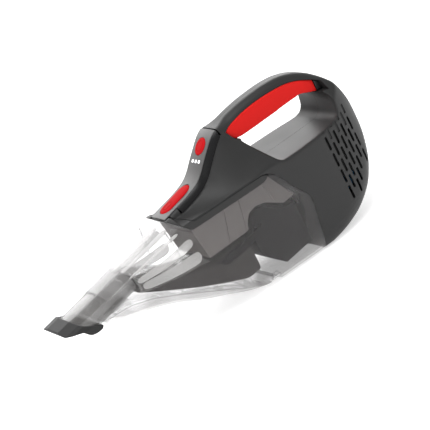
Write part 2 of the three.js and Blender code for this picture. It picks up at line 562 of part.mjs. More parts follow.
// The origin is midway between the lip's front and the housing's rear.
const vacuum = new THREE.Group();
vacuum.position.x = 5;
const paint = (color, roughness, metalness = 0) =>
  new THREE.MeshStandardMaterial({ color, roughness, metalness });
const place = (name, body, color, roughness = 0.5, metalness = 0) => {
  const mesh = new THREE.Mesh(geometryOf(body), paint(color, roughness, metalness));
  mesh.name = name;
  vacuum.add(mesh);
  return mesh;
};
place("housing_left", housingLeft, 0x414141);
place("housing_right", housingRight, 0x414141);
place("control_panel", panel, 0x5f5d5d);
place("power_button", powerButton, 0xd72026);
place("release_button", releaseButton, 0xd72026);
place("circuit_board", board, 0x1f5a35);
place("power_switch", tactileSwitch, 0x222222);
place("light_guide", lightGuide, 0xf4f4f2);
place("latch_hook", latch, 0x2a2a2a);
place("latch_pin", latchPin, 0xb0b0b0, 0.3, 1);
place("release_spring", releaseSpring, 0xb0b0b0, 0.3, 1);
place("grip", grip, 0xe2262a);
place("grip_collar", collar, 0x222222);
place("fan_shroud", shroud, 0x333333);
place("motor_mount", mount, 0x333333);
place("motor", motor, 0xa0a0a0, 0.35, 0.9);
place("fan_rotor", rotor, 0x707070);
cells.forEach((cell, i) => place("battery_cell_" + (i + 1), cell, 0x2f6fb0));
place("battery_tray", tray, 0x2a2a2a);
place("exhaust_foam_left", foam(-1), 0x3a3a3a, 0.95);
place("exhaust_foam_right", foam(1), 0x3a3a3a, 0.95);
place("charge_socket", socket, 0x202020);
place("wiring", wiring, 0xa02020);
screwPlaces.forEach((spot, i) => place("housing_screw_" + (i + 1), screw(spot), 0xb8b8b8, 0.3, 1));
place("cup_shell", cupShell, 0xdddddd, 0.15);
place("emptying_door", door, 0xeeeeee, 0.15);
place("door_pin", doorPin, 0xb0b0b0, 0.3, 1);
place("cup_rim", rim, 0x3a3a3a);
place("intake_duct", duct, 0x504b49);
place("inlet_flap", flap, 0x303030, 0.8);
place("flap_pin", flapPin, 0xb0b0b0, 0.3, 1);
place("filter_basket", basket, 0x737070);
place("filter_holder", holder, 0x2d2a2b);
place("pleated_filter", filter, 0xe8e6e0, 0.9);
place("filter_gasket", gasket, 0x222222, 0.8);
place("nozzle_tube", tube, 0x6e6e6e, 0.2);
place("nozzle_lip", lip, 0x2c2c2c, 0.7);
export default vacuum;
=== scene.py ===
import math

import bmesh
import bpy
import numpy as np
from mathutils import Matrix, Vector


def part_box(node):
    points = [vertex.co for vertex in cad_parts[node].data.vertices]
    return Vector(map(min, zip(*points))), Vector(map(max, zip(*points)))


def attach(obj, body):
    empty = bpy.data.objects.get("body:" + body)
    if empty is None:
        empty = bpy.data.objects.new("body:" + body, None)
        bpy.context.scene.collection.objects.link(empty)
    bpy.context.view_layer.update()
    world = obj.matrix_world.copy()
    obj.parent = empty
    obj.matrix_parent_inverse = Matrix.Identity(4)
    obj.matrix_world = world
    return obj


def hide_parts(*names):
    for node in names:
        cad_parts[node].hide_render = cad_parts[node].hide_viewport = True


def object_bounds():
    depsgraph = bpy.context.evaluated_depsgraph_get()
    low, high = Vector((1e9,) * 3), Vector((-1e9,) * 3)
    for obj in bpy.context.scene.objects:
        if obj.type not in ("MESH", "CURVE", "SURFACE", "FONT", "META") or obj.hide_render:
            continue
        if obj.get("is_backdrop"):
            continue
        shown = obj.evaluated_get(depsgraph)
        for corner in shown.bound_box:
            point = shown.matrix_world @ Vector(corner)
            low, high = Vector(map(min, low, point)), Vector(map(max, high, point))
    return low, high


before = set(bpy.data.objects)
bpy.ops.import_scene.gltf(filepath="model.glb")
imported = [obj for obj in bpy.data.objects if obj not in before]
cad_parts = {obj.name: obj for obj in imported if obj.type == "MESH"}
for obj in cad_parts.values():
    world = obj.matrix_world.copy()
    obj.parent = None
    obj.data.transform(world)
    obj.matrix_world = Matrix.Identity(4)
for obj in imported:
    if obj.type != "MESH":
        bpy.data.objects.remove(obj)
cad_low, cad_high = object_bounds()

# Studio: a wide pale floor, a soft panel overhead, a wide panel behind and a weak one at the camera's side.
# The vacuum lies on its belly on the floor, and the camera looks down on its left side from the nozzle end.
scene = bpy.context.scene
scene.view_settings.view_transform = "Standard"
scene.view_settings.look = "None"

middle = (Vector(cad_low) + Vector(cad_high)) / 2
aim_back = 0.011
aim_drop = 0.0026
target = Vector((middle.x + aim_back, 0.0, middle.z - aim_drop))
azimuth = math.radians(-22)
elevation = math.radians(20)
roll = math.radians(27.7)
camera_distance = 2.022
back = Vector((math.sin(azimuth) * math.cos(elevation), -math.cos(azimuth) * math.cos(elevation),
               math.sin(elevation)))
level = Vector((math.cos(azimuth), math.sin(azimuth), 0.0))
lift = back.cross(level)
camera_right = level * math.cos(roll) - lift * math.sin(roll)
camera_up = level * math.sin(roll) + lift * math.cos(roll)
camera_data = bpy.data.cameras.new("camera")
camera_data.lens = 154.5
camera_data.sensor_width = 36.0
camera = bpy.data.objects.new("camera", camera_data)
pose = Matrix((camera_right, camera_up, back)).transposed().to_4x4()
pose.translation = target + back * camera_distance
camera.matrix_world = pose
scene.collection.objects.link(camera)
scene.camera = camera

world = bpy.data.worlds.new("studio")
world.use_nodes = True
world.node_tree.nodes["Background"].inputs["Color"].default_value = (1.0, 1.0, 1.0, 1.0)
world.node_tree.nodes["Background"].inputs["Strength"].default_value = 0.42
scene.world = world


def soft_panel(name, place, aim, width, height, power):
    lamp = bpy.data.lights.new(name, "AREA")
    lamp.shape = "RECTANGLE"
    lamp.size = width
    lamp.size_y = height
    lamp.energy = power
    panel = bpy.data.objects.new(name, lamp)
    panel.location = place
    panel.rotation_mode = "QUATERNION"
    panel.rotation_quaternion = (Vector(aim) - Vector(place)).to_track_quat("-Z", "Y")
    scene.collection.objects.link(panel)


soft_panel("panel_above", (-0.3, -0.2, 2.2), (0.0, 0.0, 0.1), 2.2, 1.6, 42)
soft_panel("panel_behind", (1.4, 4.2, 1.7), (0.0, 0.0, 0.1), 5.0, 2.6, 165)
soft_panel("panel_front", (-2.4, -2.2, 1.3), (0.0, 0.0, 0.1), 1.0, 1.4, 16)

floor_mesh = bpy.data.meshes.new("floor")
floor_build = bmesh.new()
bmesh.ops.create_grid(floor_build, x_segments=8, y_segments=8, size=14.0)
floor_build.to_mesh(floor_mesh)
floor_build.free()
floor = bpy.data.objects.new("floor", floor_mesh)
floor.location = (0.0, 0.0, -0.001)
scene.collection.objects.link(floor)
floor_paint = bpy.data.materials.new("floor_paint")
floor_paint.use_nodes = True
floor_shader = floor_paint.node_tree.nodes["Principled BSDF"]
floor_shader.inputs["Base Color"].default_value = (0.86, 0.86, 0.86, 1.0)
floor_shader.inputs["Roughness"].default_value = 0.9
floor_shader.inputs["Specular IOR Level"].default_value = 0.1
floor_shader.inputs["Emission Color"].default_value = (1.0, 1.0, 1.0, 1.0)
floor_shader.inputs["Emission Strength"].default_value = 0.55
floor_mesh.materials.append(floor_paint)
floor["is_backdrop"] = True

# Motor housing: two glass-filled ABS mouldings, split down the middle and screwed together. Spark-eroded
# charcoal finish, with a straight hand hole, a scooped neck by the controls, and exhaust slots at the rear.
# Its lines are drawn in the side view, as (x, z) in millimetres, with the nozzle's front end at nose_x.
MM = 0.001
far = 75.0
nose_x = -221.0
ahead = Vector((round(cad_low[0] / MM - nose_x, 2), 0.0, 0.0))
wall = 2.6
fit = 0.4
half_gap = 0.15
strip_line = [(-36, 129), (-14, 134), (-2, 138.5), (6, 144), (16, 153.5), (27, 163.5), (37, 172), (44, 176)]
back_line = [(54, 177.5), (70, 181), (90, 184), (109, 185.2), (130, 185.2), (149, 182.5), (167, 175.5),
             (181, 165.5), (193, 151), (201.5, 135), (207.5, 116), (210, 98)]
rear_line = [(60, 0), (100, 0), (130, 4), (158, 12.5), (182, 27.5), (198, 48), (208, 72), (211, 88)]
keel_line = [(22, 0), (-9, 7), (-44, 22), (-63, 30), (-92, 45), (-120, 56), (-148, 64), (-172, 72)]
belly_line = [(-175, 71)] + keel_line[::-1] + rear_line
crown_line = [(-175, 96.5), (-158, 100), (-124, 106), (-89, 112), (-56, 124.6)] + strip_line + back_line
parting_line = [(86.5, 0), (95.5, 56), (94.5, 65), (81.5, 86), (70.5, 106), (64.5, 112), (55, 115.5),
                (-34, 115.5), (-37.5, 117.2), (-51, 126)]
hole_line = [(88, 115), (166, 115), (174, 119), (178, 128), (178, 140), (171, 150), (155, 155), (65, 155.3),
             (63.5, 152.5), (83, 118)]
grip_line = [(62, 155), (155, 155), (166, 150.5), (176, 147), (176, 161), (162, 168.5), (148, 173.5),
             (132, 176), (115, 177), (97, 176.8), (79, 175), (58, 170.5), (54, 168.5)]
collar_line = [(176.4, 147.5), (183, 146), (181.5, 157), (176.4, 160.5)]
core_line = [(66, 158.5), (153, 158.5), (168, 154), (168, 200), (66, 200)]
core_half = 13.0
knee = 117.0
widest = 51.6
rear_start = 95
rear_long = 116.4
neck_x = -50
nose_half = 21.5
edge_deep = 9


def along(line, x):
    """Height of a smooth side-view line at x."""
    points = np.array(sorted(line), float)
    px, pz = points[:, 0], points[:, 1]
    slope = np.gradient(pz, px)
    x = np.clip(np.asarray(x, float), px[0], px[-1])
    i = np.clip(np.searchsorted(px, x) - 1, 0, len(px) - 2)
    width = px[i + 1] - px[i]
    t = (x - px[i]) / width
    start = (2 * t**3 - 3 * t**2 + 1) * pz[i] + (t**3 - 2 * t**2 + t) * width * slope[i]
    end = (-2 * t**3 + 3 * t**2) * pz[i + 1] + (t**3 - t**2) * width * slope[i + 1]
    return start + end


def plan_half(x):
    """Half-width of the body in plan: a slow taper to the nozzle and a round rear."""
    taper = along([(-175, 36.5), (-124, 38), (-89, 39.5), (-55, 41.5), (-20, 44.5), (30, 48.5), (75, 51.2),
                   (rear_start, widest)], x)
    rear = np.clip((x - rear_start) / rear_long, 0, 1)
    return np.where(x > rear_start, widest * np.power(np.clip(1 - rear**2.3, 0, 1), 1 / 2.2), taper)


def body_half(x, z, top, bottom):
    """Half-width of the body's skin at a point of the side view."""
    belt = plan_half(x)
    rise = np.clip((z - knee) / np.maximum(4.0, top - edge_deep - knee), 0, 1)
    nose = belt + (nose_half - belt) * np.power(rise, 0.8)
    flare = along([(100, 52), (117, 51), (126, 45), (136, 38), (146, 32), (157, 25), (168, 19), (176, 17),
                   (200, 17)], z)
    blend = np.clip((x - 38) / 30, 0, 1)
    blend = blend * blend * (3 - 2 * blend)
    upper = nose + (np.minimum(flare, belt) - nose) * blend
    side = np.where((z > knee) & (x > neck_x), np.minimum(upper, belt), belt)
    to_rear = np.clip((x - 100) / 70, 0, 1)
    foot_high = 15 + 14 * to_rear
    foot_wide = 9 + 9 * to_rear
    foot = np.clip((z - bottom) / foot_high, 0, 1)
    side = side - foot_wide * (1 - np.sqrt(1 - (1 - foot) ** 2))
    arch = np.clip((z - (top - edge_deep)) / edge_deep, 0, 1)
    side = np.where(x < neck_x, side - 22 * arch**1.9, side)
    deep = 7 + 4 * np.clip((x - 44) / 20, 0, 1)
    edge = np.clip((z - (top - deep)) / deep, 0, 1)
    side = np.where(x >= neck_x, side - (deep - 0.5) * (1 - np.sqrt(1 - edge**2)), side)
    return np.maximum(side, 1.5)


def new_piece(name, build):
    mesh = bpy.data.meshes.new(name)
    build.to_mesh(mesh)
    build.free()
    piece = bpy.data.objects.new(name, mesh)
    scene.collection.objects.link(piece)
    return piece


def many(name, bodies):
    """One piece of closed bodies. Each body is rings of the same number of points, in millimetres."""
    build = bmesh.new()
    for rings in bodies:
        rows = [[build.verts.new((Vector(p) + ahead) * MM) for p in ring] for ring in rings]
        count = len(rows[0])
        for a, b in zip(rows, rows[1:]):
            for j in range(count):
                k = (j + 1) % count
                build.faces.new((a[j], a[k], b[k], b[j]))
        build.faces.new(rows[0][::-1])
        build.faces.new(rows[-1])
    bmesh.ops.recalc_face_normals(build, faces=build.faces)
    return new_piece(name, build)


def rings_to_piece(name, rings):
    """A closed body through rings of the same number of points, in millimetres."""
    return many(name, [rings])


def body_skin(name, skin, x0=-181.0, x1=211.0, step=2.5, levels=44):
    """The whole body's skin, moved in by skin, from x0 to x1."""
    xs = np.unique(np.concatenate([np.arange(x0, x1, step), np.linspace(x1 - 8, x1, 9)]))
    rings = []
    for x in xs:
        top = float(along(crown_line, x))
        bottom = max(float(along(belly_line, x)), 0.0)
        share = 0.5 - 0.5 * np.cos(np.linspace(0, math.pi, levels))
        if top > knee + 4:
            level = (knee - bottom) / (top - bottom)
            low = 0.5 - 0.5 * np.cos(np.linspace(0, math.pi, levels - 18))
            high = 0.5 - 0.5 * np.cos(np.linspace(0, math.pi, 19))
            share = np.concatenate([low * level, level + high[1:] * (1 - level)])
        z = bottom + (top - bottom) * share
        half = np.maximum(body_half(np.full(levels, x), z, top, bottom) - skin, 0.8)
        height = bottom + skin + (top - bottom - 2 * skin) * share
        right = [(x, half[i], height[i]) for i in range(levels)]
        left = [(x, -half[i], height[i]) for i in range(levels)][::-1]
        rings.append(right + left)
    return rings_to_piece(name, rings)


def smooth_outline(points, steps=5, corner=42):
    """A closed side-view outline drawn as a smooth curve that keeps its sharp corners."""
    p = [Vector(q) for q in points]
    count = len(p)
    out = []

    def tangent(i, outward):
        before = p[i] - p[i - 1]
        after = p[(i + 1) % count] - p[i]
        if before.angle(after) > math.radians(corner):
            return after.normalized() if outward else before.normalized()
        return (before.normalized() + after.normalized()).normalized()

    spans = [(p[(i + 1) % count] - p[i]).length for i in range(count)]
    for i in range(count):
        a, b = p[i], p[(i + 1) % count]
        ta = tangent(i, True) * min(spans[i], 1.5 * spans[i - 1])
        tb = tangent((i + 1) % count, False) * min(spans[i], 1.5 * spans[(i + 1) % count])
        for k in range(steps):
            t = k / steps
            out.append((2 * t**3 - 3 * t**2 + 1) * a + (t**3 - 2 * t**2 + t) * ta
                       + (-2 * t**3 + 3 * t**2) * b + (t**3 - t**2) * tb)
    return [(q.x, q.y) for q in out]


def offset(points, distance):
    """A closed outline moved inwards by a distance, or outwards when it is negative."""
    p = np.array(points, float)
    after = np.roll(p, -1, axis=0)
    turn = np.sign(np.sum(p[:, 0] * after[:, 1] - after[:, 0] * p[:, 1]))
    side = after - p
    side /= np.linalg.norm(side, axis=1)[:, None]
    normal = np.stack([-turn * side[:, 1], turn * side[:, 0]], axis=1)
    mitre = normal + np.roll(normal, 1, axis=0)
    mitre /= np.maximum(np.sum(mitre * normal, axis=1), 0.35)[:, None]
    return [tuple(q) for q in p + mitre * distance]


def slab(name, outline, y0, y1):
    """A side-view outline given depth from y0 to y1."""
    rings = [[(x, y, z) for x, z in outline] for y in (y0, y1)]
    return rings_to_piece(name, rings)


def brick(name, x0, x1, y0, y1, z0, z1):
    return slab(name, [(x0, z0), (x1, z0), (x1, z1), (x0, z1)], y0, y1)


def baked(piece):
    """Applies a piece's modifiers."""
    graph = bpy.context.evaluated_depsgraph_get()
    graph.update()
    mesh = bpy.data.meshes.new_from_object(piece.evaluated_get(graph))
    piece.modifiers.clear()
    old = piece.data
    piece.data = mesh
    bpy.data.meshes.remove(old)
    return piece


def carve(piece, tool, operation="DIFFERENCE"):
    step = piece.modifiers.new("carve", "BOOLEAN")
    step.object = tool
    step.operation = operation
    step.solver = "MANIFOLD"
    baked(piece)
    bpy.data.objects.remove(tool)


def moulded(piece, pitch, rounds):
    """Turns cut solids into one moulding with small even fillets."""
    step = piece.modifiers.new("mould", "REMESH")
    step.mode = "VOXEL"
    step.voxel_size = pitch * MM
    step.use_smooth_shade = True
    step = piece.modifiers.new("ease", "SMOOTH")
    step.factor = 0.5
    step.iterations = rounds
    return baked(piece)


def creased(piece, angle=38):
    """Smooth shading with sharp edges where faces meet at more than the angle."""
    for face in piece.data.polygons:
        face.use_smooth = True
    piece.data.set_sharp_from_angle(angle=math.radians(angle))


def lowered(line, depth):
    """An open line that runs in +X, moved down square to itself."""
    p = np.array(line, float)
    run = np.gradient(p, axis=0)
    run /= np.linalg.norm(run, axis=1)[:, None]
    return [(a + t * depth, b - s * depth) for (a, b), (s, t) in zip(p, run)]


housing_cut = smooth_outline([(86.5, -12)] + parting_line[:-1]
                             + [(-48, 123.4), (-48, 215), (235, 215), (235, -12)])
hole_cut = smooth_outline(hole_line, 6, 80)
seat_cut = smooth_outline(offset(grip_line, -fit), 4, 60)
xs_strip = np.linspace(-36, 45, 28)
strip_smooth = [(x, float(along(strip_line, x))) for x in xs_strip]
panel_cut = [(-37, 215), (-37, 121)] + lowered(strip_smooth, 7.3)[1:] + [(45.4, 215)]
tongue_room = 17.3
tongue_cut = [(-60, 215), (-60, 117), (-55, 117.6), (-36, 121.6), (-20, 125), (-20, 215)]

shell = body_skin("housing_shell_left", 0.0)
carve(shell, brick("front_half", -70, 235, -far, 4, -12, 215), "INTERSECT")
carve(shell, slab("tool", hole_cut, -far, far))
moulded(shell, 0.7, 8)

# The edge of the hand hole is rolled over: the skin within 9 mm of it is eased, except along the middle.
spots = np.array([v.co for v in shell.data.vertices]) / MM - np.array(ahead)
rim_points = np.array(hole_cut)
reach = np.full(len(spots), 99.0)
for a, b in zip(rim_points, np.roll(rim_points, -1, axis=0)):
    run = b - a
    t = np.clip(((spots[:, [0, 2]] - a) @ run) / max(run @ run, 1e-6), 0, 1)
    reach = np.minimum(reach, np.linalg.norm(spots[:, [0, 2]] - (a + t[:, None] * run), axis=1))
weight = np.clip((9 - reach) / 6, 0, 1) * np.clip((np.abs(spots[:, 1]) - 5) / 5, 0, 1)
group = shell.vertex_groups.new(name="rolled")
for i in np.nonzero(weight > 0.02)[0]:
    group.add([int(i)], float(weight[i]), "REPLACE")
step = shell.modifiers.new("roll", "SMOOTH")
step.factor = 0.5
step.iterations = 60
step.vertex_group = "rolled"
baked(shell)
carve(shell, slab("tool", housing_cut, -far, -half_gap), "INTERSECT")
seat = slab("tool", seat_cut, -far, far)
carve(seat, slab("core", core_line, -core_half, core_half))
carve(shell, seat)
carve(shell, slab("tool", offset(collar_line, -fit), -far, far))
carve(shell, slab("tool", panel_cut, -far, far))
carve(shell, slab("tool", tongue_cut, -tongue_room, tongue_room))

hole_wall = 3.2
cavity_outline = offset(parting_line[:-1] + [(-46, 121.5), (-36, 126)] + strip_line[1:] + back_line
                        + rear_line[:0:-1], wall)
hollow = body_skin("hollow", wall)
carve(hollow, slab("tool", cavity_outline, -far, far), "INTERSECT")
carve(hollow, slab("tool", offset(hole_line, -hole_wall), -far, far))
seat = slab("tool", offset(grip_line, -(wall + fit)), -far, far)
carve(seat, slab("core", offset(core_line, wall), wall - core_half, core_half - wall))
carve(hollow, seat)
carve(hollow, slab("tool", offset(collar_line, -(wall + fit)), -far, far))
carve(shell, hollow)
nose_cut = [(-28, 122)] + lowered(strip_smooth[4:-3], 11) + [(38, 215), (-28, 215)]
carve(shell, slab("tool", nose_cut, -18.5, 18.5))


def stadium(x, z0, z1, width, y0, y1):
    """A slot with round ends, standing along Z, as rings along Y."""
    radius = width / 2
    outline = []
    for k in range(9):
        angle = math.pi * k / 8
        outline.append((x + radius * math.cos(angle), z1 - radius + radius * math.sin(angle)))
    for k in range(9):
        angle = math.pi + math.pi * k / 8
        outline.append((x + radius * math.cos(angle), z0 + radius + radius * math.sin(angle)))
    return [[(px, y, pz) for px, pz in outline] for y in (y0, y1)]


slot_wide = 3.4
slot_high = 17
column_pitch = 7
row_pitch = 21
row_shift = 10
lowest_slot = 27
highest_slot = 112
blind_top = 124
open_slots = []
blind_slots = []
for column in range(7):
    x = 144.5 + column_pitch * column
    for row in range(-1, 5):
        low = 28 + (column % 2) * row_shift + row_pitch * row
        high = low + slot_high
        depth = float(plan_half(x + 1.5))
        if low >= float(along(rear_line, x)) + 14 and high <= highest_slot and low >= lowest_slot:
            open_slots.append(stadium(x, low, high, slot_wide, -far, -20))
        elif high > highest_slot and low < 122:
            blind_slots.append(stadium(x, low, min(high, blind_top), slot_wide, -far, -depth + 1.1))
carve(shell, many("slots", open_slots))
carve(shell, many("dents", blind_slots))


def round_hole(name, radius, start, end, axis="x", segments=48):
    """A straight round bar between two points on one axis, in millimetres."""
    rings = []
    first = Vector(start)
    last = Vector(end)
    for place in (first, last):
        ring = []
        for k in range(segments):
            angle = 2 * math.pi * k / segments
            c, s = radius * math.cos(angle), radius * math.sin(angle)
            ring.append(place + (Vector((0, c, s)) if axis == "x" else Vector((c, 0, s))))
        rings.append(ring)
    return rings_to_piece(name, rings)


inlet_radius = 26
inlet_z = 46
socket_radius = 6.6
socket_z = 70
carve(shell, round_hole("inlet", inlet_radius, (78, 0, inlet_z), (108, 0, inlet_z)))
carve(shell, round_hole("socket", socket_radius, (190, 0, socket_z), (225, 0, socket_z)))
carve(shell, brick("latch_gap", -44, -36.5, -3.6, 3.6, 100, 124))
shell.vertex_groups.clear()

shell_right = bpy.data.objects.new("housing_shell_right", shell.data.copy())
scene.collection.objects.link(shell_right)
flipped = bmesh.new()
flipped.from_mesh(shell_right.data)
bmesh.ops.scale(flipped, vec=(1, -1, 1), verts=flipped.verts)
bmesh.ops.reverse_faces(flipped, faces=flipped.faces)
flipped.to_mesh(shell_right.data)
flipped.free()
well_radius = 3.5
well_floor = 8.0
for number in range(1, 6):
    low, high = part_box(f"housing_screw_{number}")
    spot = (Vector(low) + Vector(high)) / 2 / MM - ahead
    carve(shell_right, round_hole("well", well_radius, (spot.x, well_floor, spot.z), (spot.x, far, spot.z),
                                  "y", 28))
creased(shell)
creased(shell_right)


def plastic(name, colour, rough, grain=0.35, bump=0.06, mottle=0.06, specular=0.35):
    """A moulded surface: fine grain, and slow changes of colour and gloss as on any large moulding."""
    paint = bpy.data.materials.new(name)
    paint.use_nodes = True
    nodes, links = paint.node_tree.nodes, paint.node_tree.links
    shader = nodes["Principled BSDF"]
    shader.inputs["Specular IOR Level"].default_value = specular
    place = nodes.new("ShaderNodeTexCoord")
    fine = nodes.new("ShaderNodeTexNoise")
    fine.inputs["Scale"].default_value = 1000 / grain
    fine.inputs["Detail"].default_value = 3
    slow = nodes.new("ShaderNodeTexNoise")
    slow.inputs["Scale"].default_value = 28
    slow.inputs["Detail"].default_value = 4
    links.new(place.outputs["Object"], fine.inputs["Vector"])
    links.new(place.outputs["Object"], slow.inputs["Vector"])
    tone = nodes.new("ShaderNodeMix")
    tone.data_type = "RGBA"
    low = [c * (1 - mottle) for c in colour]
    high = [min(1.0, c * (1 + mottle)) for c in colour]
    tone.inputs["A"].default_value = (*low, 1.0)
    tone.inputs["B"].default_value = (*high, 1.0)
    links.new(slow.outputs["Fac"], tone.inputs["Factor"])
    links.new(tone.outputs["Result"], shader.inputs["Base Color"])
    gloss = nodes.new("ShaderNodeMapRange")
    gloss.inputs["To Min"].default_value = max(0.02, rough - 0.05)
    gloss.inputs["To Max"].default_value = min(1.0, rough + 0.05)
    links.new(slow.outputs["Fac"], gloss.inputs["Value"])
    links.new(gloss.outputs["Result"], shader.inputs["Roughness"])
    dent = nodes.new("ShaderNodeBump")
    dent.inputs["Strength"].default_value = bump
    dent.inputs["Distance"].default_value = 0.0001
    links.new(fine.outputs["Fac"], dent.inputs["Height"])
    links.new(dent.outputs["Normal"], shader.inputs["Normal"])
    return paint


def settle(piece, body, paint, node):
    """Gives a piece its body and its finish, and hides the CAD node that it stands for."""
    piece.data.materials.clear()
    piece.data.materials.append(paint)
    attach(piece, body)
    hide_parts(node)


charcoal = plastic("charcoal_abs", (0.027, 0.027, 0.027), 0.46, 0.5, 0.08, 0.06, 0.25)
settle(shell, "housing", charcoal, "housing_left")
settle(shell_right, "housing", charcoal, "housing_right")

# Control strip and bezel: a satin cap along the front of the handle, laid in a glossy bezel that drops beside
# it, and runs down as a flat tongue over the cup rim. It clips into both housing halves. The two stand for
# one
# grey moulding: the cap's lighter grey is painted light on its top face, and the bezel's near-black is
# painted shade on its sides.

def swept(name, line, profile):
    """A closed profile of (across, above) points carried along a side-view line."""
    p = np.array(line, float)
    run = np.gradient(p, axis=0)
    run /= np.linalg.norm(run, axis=1)[:, None]
    rings = []
    for i, ((x, z), (s, t)) in enumerate(zip(p, run)):
        ring = [(x - t * above, across, z + s * above) for across, above in profile(i, x, z, (s, t))]
        rings.append(ring)
    return rings_to_piece(name, rings)


def bezel_profile(i, x, z, run):
    foot_x, foot_z = x + run[1] * 7.0, z - run[0] * 7.0
    top = float(along(crown_line, foot_x))
    bottom = max(float(along(belly_line, foot_x)), 0.0)
    foot = float(body_half(np.array([foot_x]), np.array([foot_z]), top, bottom)[0]) + 0.2
    foot = min(max(foot, 18.5), 25.0)
    return [(-foot, -7.0), (-foot + 0.3, -6.2), (-17.6, -0.7), (-17.0, -0.15), (-16.4, -0.1), (-16.3, -1.6),
            (16.3, -1.6), (16.4, -0.1), (17.0, -0.15), (17.6, -0.7), (foot - 0.3, -6.2), (foot, -7.0),
            (14.5, -7.0), (14.5, -2.9), (-14.5, -2.9), (-14.5, -7.0)]


def strip_profile(i, x, z, run):
    return [(-16.1, -1.3), (-16.1, 0.0), (-15.6, 0.45), (-8, 0.75), (0, 0.85), (8, 0.75), (15.6, 0.45),
            (16.1, 0.0), (16.1, -1.3)]


def tongue_profile(i, x, z, run):
    return [(-17.0, -2.6), (-17.0, -0.2), (-16.6, 0.0), (16.6, 0.0), (17.0, -0.2), (17.0, -2.6)]


over_end = [(x, float(along(crown_line, x))) for x in (46.5, 48.5)]
bezel = swept("panel_bezel", strip_smooth + over_end, bezel_profile)
carve(bezel, brick("end_cut", 45.1, 60, -far, far, 100, 215))
tongue_run = [(-55.0, 125.0), (-50.0, 126.0), (-45.0, 127.1), (-40.0, 128.2), (-34.0, 129.5)]
tongue = swept("tongue", tongue_run, tongue_profile)
carve(bezel, tongue, "UNION")
strip = swept("control_strip", [(-54.6, 125.1), (-50.0, 126.1), (-45.0, 127.2)] + strip_smooth + over_end,
              strip_profile)
carve(strip, brick("end_cut", 45.0, 60, -far, far, 100, 215))
carve(bezel, swept("bed", [(-56.0, 124.8), (-50.0, 126.1), (-45.0, 127.2)] + strip_smooth + over_end,
                   lambda i, x, z, run: [(-16.25, -1.45), (-16.25, 3.0), (16.25, 3.0), (16.25, -1.45)]))

power_slope = math.atan2(18.5, 21)
power_place = (28.5, 164.6)
release_slope = math.atan2(5, 22)
release_place = (-27.0, 131.1)
power_long = 20.2
release_long = 44
key_wide = 20
key_room = 0.7
window_ahead = 17


def oval_rings(length, width, profile, place, slope, segments=56):
    """Rings of a round-ended key standing on the panel face: profile of (shrink, height), in millimetres."""
    rings = []
    cos, sin = math.cos(slope), math.sin(slope)
    straight = (length - width) / 2
    for shrink, high in profile:
        ring = []
        radius = width / 2 - shrink
        for k in range(segments):
            angle = 2 * math.pi * (k + 0.5) / segments
            end = math.copysign(straight, math.cos(angle))
            along_face = end + radius * math.cos(angle)
            across = radius * math.sin(angle)
            ring.append((place[0] + along_face * cos - high * sin, across,
                         place[1] + along_face * sin + high * cos))
        rings.append(ring)
    return rings


for length, place, slope in ((power_long, power_place, power_slope),
                             (release_long, release_place, release_slope)):
    for part in (bezel, strip):
        carve(part, rings_to_piece("keyhole", oval_rings(length + key_room, key_wide + key_room,
                                                         [(0, -9), (0, 9)], place, slope)))

windows = []
for y in (-7, 0, 7):
    ring = []
    for k in range(20):
        angle = 2 * math.pi * (k + 0.5) / 20
        c, s = math.cos(angle), math.sin(angle)
        ring.append((1.8 * math.copysign(abs(c)**0.45, c), 1.8 * math.copysign(abs(s)**0.45, s)))
    windows.append((y, ring))


def window_body(y, ring, grow, low, high):
    cos, sin = math.cos(power_slope), math.sin(power_slope)
    rings = []
    for h in (low, high):
        rings.append([(power_place[0] + (a * grow - window_ahead) * cos - h * sin, y + b * grow,
                       power_place[1] + (a * grow - window_ahead) * sin + h * cos) for a, b in ring])
    return rings


for part in (bezel, strip):
    carve(part, many("window_cuts", [window_body(y, ring, 1.08, -9, 9) for y, ring in windows]))
creased(bezel, 30)
creased(strip, 30)
# Painted shade and painted light: the bezel near-black for the shade on its sides, the cap lighter grey for
# the light on its top.
shade_painted_black = plastic("shade_painted_black_abs", (0.006, 0.006, 0.0065), 0.25, 0.6, 0.05, 0.05)
light_painted_grey = plastic("light_painted_grey_abs", (0.080, 0.078, 0.078), 0.42, 0.5, 0.05, 0.05, 0.4)
settle(bezel, "housing", shade_painted_black, "control_panel")
settle(strip, "housing", light_painted_grey, "control_panel")

# Battery lights: one milky light guide with three rounded square windows, lit, and pressed in from behind.
lights = many("light_windows", [window_body(y, ring, 1.0, -2.8, 0.95) for y, ring in windows])
creased(lights, 30)
milky = plastic("milky_polycarbonate", (0.9, 0.9, 0.9), 0.3, 0.5, 0.03, 0.02)
milky.node_tree.nodes["Principled BSDF"].inputs["Emission Color"].default_value = (1.0, 1.0, 1.0, 1.0)
milky.node_tree.nodes["Principled BSDF"].inputs["Emission Strength"].default_value = 0.75
settle(lights, "housing", milky, "light_guide")

# Buttons: two red ABS keys with a satin finish. The round power key has a shallow ring groove and a flange
# under the strip that holds it in, and the long release key has a shallow oval groove at its front end.
power_key = rings_to_piece("power_key", oval_rings(power_long, key_wide, [
    (-1.4, -4.4), (-1.4, -2.9), (0, -2.85), (0, 0.5), (0.15, 0.95), (0.6, 1.3), (1.6, 1.55), (3.4, 1.65),
    (3.7, 1.3), (4.2, 1.3), (4.5, 1.65), (6, 1.75), (8, 1.8), (9.6, 1.82)], power_place, power_slope))
stem = rings_to_piece("stem", oval_rings(6.2, 6, [(0, -5.4), (0, -4.0)], power_place, power_slope))
carve(power_key, stem, "UNION")
release_key = rings_to_piece("release_key", oval_rings(release_long, key_wide, [
    (0, -2.4), (0, 0.5), (0.15, 0.95), (0.6, 1.35), (1.6, 1.7), (3.5, 2.0), (6, 2.15), (9.6, 2.2)],
    release_place, release_slope))
mark_ahead = 11
mark_place = (release_place[0] - mark_ahead * math.cos(release_slope),
              release_place[1] - mark_ahead * math.sin(release_slope))
